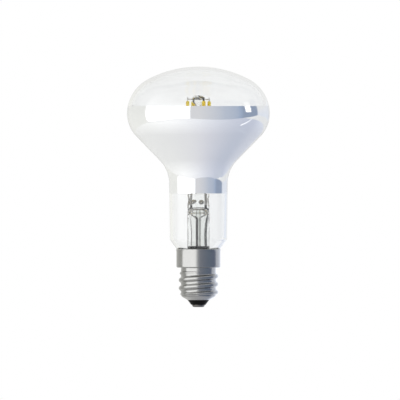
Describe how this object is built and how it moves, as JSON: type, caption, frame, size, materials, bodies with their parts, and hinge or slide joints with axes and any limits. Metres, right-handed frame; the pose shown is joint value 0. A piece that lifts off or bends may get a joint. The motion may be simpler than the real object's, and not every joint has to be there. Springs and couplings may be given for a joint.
{
  "type": "reflector bulb",
  "caption": "Reflector lamp: mirrored glass bulb with a clear face and clear neck, yellow LED filaments on a glass stem, and a small screw cap that holds its driver.",
  "frame": {"origin": "middle of the centre contact's flat face, on the bulb's axis", "axes": "+Z along the bulb's axis, from the cap up to the clear face; +X to the right of the pictured side"},
  "size_m": [0.05, 0.05, 0.0842],
  "materials": {
    "clear_glass": "clear blown glass",
    "stem_glass": "clear drawn and pressed glass",
    "mirror_film": "vapour-deposited aluminium",
    "phosphor": "silicone filled with yellow phosphor",
    "nickel_wire": "drawn nickel wire and strip",
    "dark_wire": "oxidised wire",
    "cap_metal": "nickel plated",
    "insulator_black": "moulded, black",
    "contact_metal": "tinned",
    "cement": "matt",
    "circuit_board": "white lacquered laminate",
    "chip_black": "moulded",
    "capacitor_sleeve": "shrunk sleeve",
    "resistor_coat": "cement coat"
  },
  "bodies": {
    "root": {"glass_envelope": "clear_glass", "reflector_coating": "mirror_film", "stem": "stem_glass", "stem_plug": "insulator_black", "exhaust_tube": "stem_glass", "filament_pillar": "stem_glass", "upper_bridge_low": "nickel_wire", "upper_bridge_high": "dark_wire", "lower_bridge_left": "nickel_wire", "lower_bridge_right": "nickel_wire", "lead_wire_left": "dark_wire", "lead_wire_right": "dark_wire", "filament_1": "phosphor", "filament_1_foot_tab": "nickel_wire", "filament_1_top_tab": "nickel_wire", "filament_2": "phosphor", "filament_2_foot_tab": "nickel_wire", "filament_2_top_tab": "nickel_wire", "filament_3": "phosphor", "filament_3_foot_tab": "nickel_wire", "filament_3_top_tab": "nickel_wire", "filament_4": "phosphor", "filament_4_foot_tab": "nickel_wire", "filament_4_top_tab": "nickel_wire", "cap_shell": "cap_metal", "cap_insulator": "insulator_black", "centre_contact": "contact_metal", "capping_cement": "cement", "driver_board": "circuit_board", "bridge_rectifier": "chip_black", "driver_chip": "chip_black", "smoothing_capacitor": "capacitor_sleeve", "fusible_resistor": "resistor_coat", "shell_wire": "nickel_wire"}
  },
  "joints": []
}
